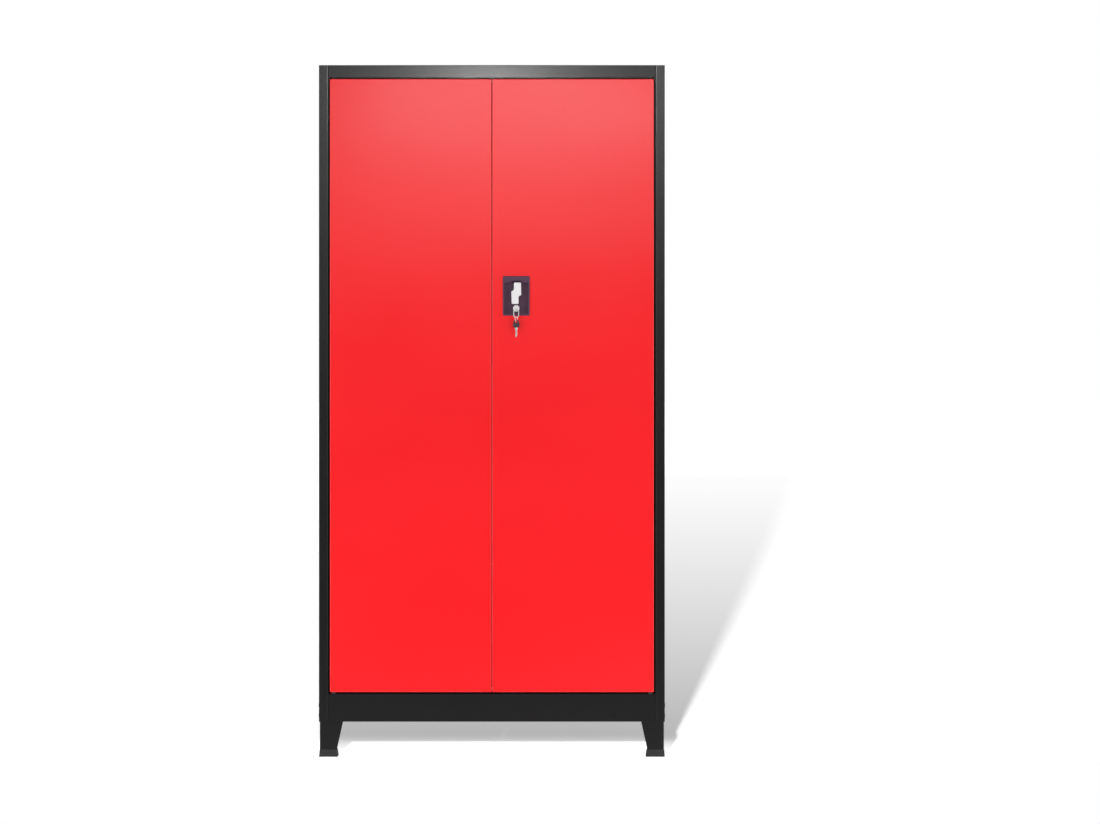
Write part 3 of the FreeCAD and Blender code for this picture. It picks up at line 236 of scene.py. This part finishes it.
# ------------------------------------------------------------------ springs
def coil(name, source, body, turns):
    """Round-wire compression spring with closed ends, in the place of a CAD node."""
    lo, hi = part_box(source)
    centre = (lo + hi) / 2
    wire = 0.0005
    outer = (hi.x - lo.x) / 2 - wire
    z0, z1 = lo.z + wire, hi.z - wire
    sides, steps = 10, 26
    count = int(turns * steps)
    verts, faces = [], []
    for i in range(count + 1):
        share = i / count
        angle = 2 * math.pi * turns * share
        # the first and last turns close up
        ease = share + 0.045 * math.sin(2 * math.pi * share) * -1
        z = z0 + (z1 - z0) * ease
        middle = Vector((centre.x + outer * math.cos(angle), centre.y + outer * math.sin(angle), z))
        radial = Vector((math.cos(angle), math.sin(angle), 0.0))
        for k in range(sides):
            t = 2 * math.pi * k / sides
            verts.append(middle + radial * (wire * math.cos(t)) + Vector((0, 0, wire * math.sin(t))))
    for i in range(count):
        for k in range(sides):
            a, b = i * sides + k, i * sides + (k + 1) % sides
            faces.append((a, a + sides, b + sides, b))
    faces.append(tuple(range(sides)))
    faces.append(tuple(reversed([count * sides + k for k in range(sides)])))
    mesh = bpy.data.meshes.new(name)
    mesh.from_pydata(verts, [], faces)
    mesh.update()
    for polygon in mesh.polygons:
        polygon.use_smooth = len(polygon.vertices) == 4
    obj = bpy.data.objects.new(name, mesh)
    scene.collection.objects.link(obj)
    mesh.materials.append(FINISHES["zinc_plated_steel"])
    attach(obj, body)
    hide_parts(source)
    return obj


springs = [coil("pivot_spring_left", "hinge_spring_left", "left_door", 7.9),
           coil("pivot_spring_right", "hinge_spring_right", "right_door", 7.9)]

# ------------------------------------------------------------------ floor and backdrop
# A flat floor that turns up into a sloping backdrop behind the cabinet; it catches the cabinet's shadow from the
# key sun, and its emission by height adds painted light and painted shade. Seen from behind or from below it is
# clear, so those views stay open.
mesh = bpy.data.meshes.new("studio_floor")
mesh.from_pydata([(-2.6, -1.4, 0), (2.9, -1.4, 0), (2.9, 0.22, 0), (-2.6, 0.22, 0),
                  (2.9, 3.62, 0.925), (-2.6, 3.62, 0.925)], [], [(0, 1, 2, 3), (3, 2, 4, 5)])
floor = bpy.data.objects.new("studio_floor", mesh)
scene.collection.objects.link(floor)
g = Graph("studio_floor_finish")
g.set(Roughness=0.9, IOR=1.2, Emission_Strength=1.0)
split = g.tree.nodes.new("ShaderNodeSeparateXYZ")
g.link(g.coords, split.inputs["Vector"])
height = g.math("ADD", split.outputs["Z"], g.remap(g.noise(0.6, 2.0), 0.0, 1.0, -0.002, 0.002))
# base colour darkens up the backdrop, so the sun adds less there and the painted glow sets the tone of the shadow
g.to("Base Color", g.ramp(height, (0.05, (0.90, 0.90, 0.90)), (0.70, (0.25, 0.25, 0.25))))
# emission by height is painted light and shade: full glow at the foot, a painted shadow band about 4-5 cm up, then
# a painted glow that grows up the backdrop and fades the cast shadow out
painted_shadow_glow = g.ramp(height, (0.016, (0.88, 0.88, 0.88)), (0.030, (0.70, 0.70, 0.70)), (0.041, (0.45, 0.45, 0.45)),
              (0.053, (0.38, 0.38, 0.38)), (0.70, (0.945, 0.945, 0.945)))
g.to("Emission Color", painted_shadow_glow)
clear = g.tree.nodes.new("ShaderNodeBsdfTransparent")
side = g.tree.nodes.new("ShaderNodeNewGeometry")
pick = g.tree.nodes.new("ShaderNodeMixShader")
g.link(side.outputs["Backfacing"], pick.inputs["Fac"])
g.link(g.bsdf.outputs["BSDF"], pick.inputs[1])
g.link(clear.outputs["BSDF"], pick.inputs[2])
g.link(pick.outputs["Shader"], g.out.inputs["Surface"])
mesh.materials.append(g.material)

# ------------------------------------------------------------------ light
world = bpy.data.worlds.new("studio")
scene.world = world
world.use_nodes = True
tree = world.node_tree
tree.nodes.clear()
out = tree.nodes.new("ShaderNodeOutputWorld")
coords = tree.nodes.new("ShaderNodeTexCoord")
split = tree.nodes.new("ShaderNodeSeparateXYZ")
rise = tree.nodes.new("ShaderNodeMapRange")
rise.interpolation_type = "SMOOTHSTEP"
rise.inputs["From Min"].default_value = 0.05
rise.inputs["From Max"].default_value = 0.80
rise.inputs["To Min"].default_value = 0.15
rise.inputs["To Max"].default_value = 0.15
dome = tree.nodes.new("ShaderNodeBackground")
white = tree.nodes.new("ShaderNodeBackground")
white.inputs["Color"].default_value = (1, 1, 1, 1)
white.inputs["Strength"].default_value = 1.0
path = tree.nodes.new("ShaderNodeLightPath")
mix = tree.nodes.new("ShaderNodeMixShader")
tree.links.new(coords.outputs["Generated"], split.inputs["Vector"])
tree.links.new(split.outputs["Z"], rise.inputs["Value"])
tree.links.new(rise.outputs["Result"], dome.inputs["Strength"])
tree.links.new(path.outputs["Is Camera Ray"], mix.inputs["Fac"])
tree.links.new(dome.outputs["Background"], mix.inputs[1])
tree.links.new(white.outputs["Background"], mix.inputs[2])
tree.links.new(mix.outputs["Shader"], out.inputs["Surface"])


def receivers(name, pieces):
    """Pieces that a lamp is aimed at; the other pieces and the floor don't get its light."""
    group = bpy.data.collections.new(name)
    for piece in pieces:
        group.objects.link(piece)
    return group


cabinet = receivers("cabinet", list(nodes.values()) + springs)
ground = receivers("ground", [floor])
rail = receivers("rail", [nodes["top_panel"]])
posts = receivers("posts", [nodes["side_panel_left"], nodes["side_panel_right"]])
inside = receivers("inside", [piece for name, piece in nodes.items()
                              if name.startswith(("shelf_", "back_panel", "back_seam"))])
# what throws the floor shadow: the rear wall and the rear legs
shade = receivers("shade", [piece for name, piece in nodes.items()
                            if name.startswith(("back_panel", "back_seam", "leg_rear",
                                                "foot_cap_rear"))])


def softbox(name, place, target, wide, high, radiance, only=None, colour=(1, 1, 1)):
    data = bpy.data.lights.new(name, "AREA")
    data.shape = "RECTANGLE"
    data.size, data.size_y = wide, high
    data.energy = radiance * math.pi * wide * high
    data.color = colour
    obj = bpy.data.objects.new(name, data)
    obj.location = place
    obj.rotation_mode = "QUATERNION"
    obj.rotation_quaternion = (Vector(target) - Vector(place)).to_track_quat("-Z", "Y")
    obj.visible_camera = False
    scene.collection.objects.link(obj)
    if only:
        obj.light_linking.receiver_collection = only
    return obj


def sun(name, towards, strength, angle, only=None, blockers=None):
    data = bpy.data.lights.new(name, "SUN")
    data.energy = strength
    data.angle = math.radians(angle)
    obj = bpy.data.objects.new(name, data)
    obj.rotation_mode = "QUATERNION"
    obj.rotation_quaternion = Vector(towards).to_track_quat("-Z", "Y")
    scene.collection.objects.link(obj)
    if only:
        obj.light_linking.receiver_collection = only
    if blockers:
        obj.light_linking.blocker_collection = blockers
    return obj


sun("key", (0.147, 1.0, -0.385), 3.15, 2.3, only=ground, blockers=shade)
sun("front_fill", (0.1, 1.0, -0.45), 0.28, 40, only=cabinet)
softbox("front_left", (-2.3, -2.3, 1.0), (0, -0.2, 1.0), 1.8, 1.8, 5.6, only=cabinet)
softbox("front_right", (2.3, -2.3, 1.0), (0, -0.2, 1.0), 1.8, 1.8, 5.4, only=cabinet)
softbox("high_strip", (0.10, -1.95, 1.76), (0.10, -0.2, 1.76), 0.95, 0.18, 7.2, only=cabinet)
softbox("middle_strip", (0.0, -1.95, 1.49), (0.0, -0.2, 1.49), 1.10, 0.36, 1.25, only=cabinet)
softbox("rail_lamp", (-0.004, -0.95, 1.648),(-0.004, -0.2, 1.79), 0.12, 0.07, 380.0, only=rail)
softbox("rail_edge_lamp", (0.02, -1.15, 1.15), (0.02, -0.2, 1.77), 0.14, 0.08, 900.0, only=rail)
softbox("post_lamp", (0.02, -1.15, 1.86), (0.02, -0.2, 1.80), 0.10, 0.08, 1060.0, only=posts)
softbox("inside_lamp", (0.5, -2.8, 1.9), (0, 0.1, 0.9), 2.4, 1.6, 13.0, only=inside)
softbox("rear_left", (-3.2, 3.6, 1.2), (0, 0.2, 0.9), 2.4, 2.0, 2.2, only=cabinet)
softbox("rear_right", (3.2, 3.6, 1.2), (0, 0.2, 0.9), 2.4, 2.0, 2.2, only=cabinet)

# ------------------------------------------------------------------ camera
data = bpy.data.cameras.new("front_camera")
camera = bpy.data.objects.new("front_camera", data)
scene.collection.objects.link(camera)
data.sensor_width = 36.0
data.lens = 36.0 * 90.0 / 2.8624
data.clip_start, data.clip_end = 1.0, 200.0
camera.location = (0.1513, -90.2, 0.8974)
camera.rotation_euler = (math.radians(90), 0, 0)
scene.camera = camera

scene.view_settings.view_transform = "Standard"
scene.view_settings.look = "None"
scene.view_settings.exposure = 0.0
scene.view_settings.gamma = 1.0
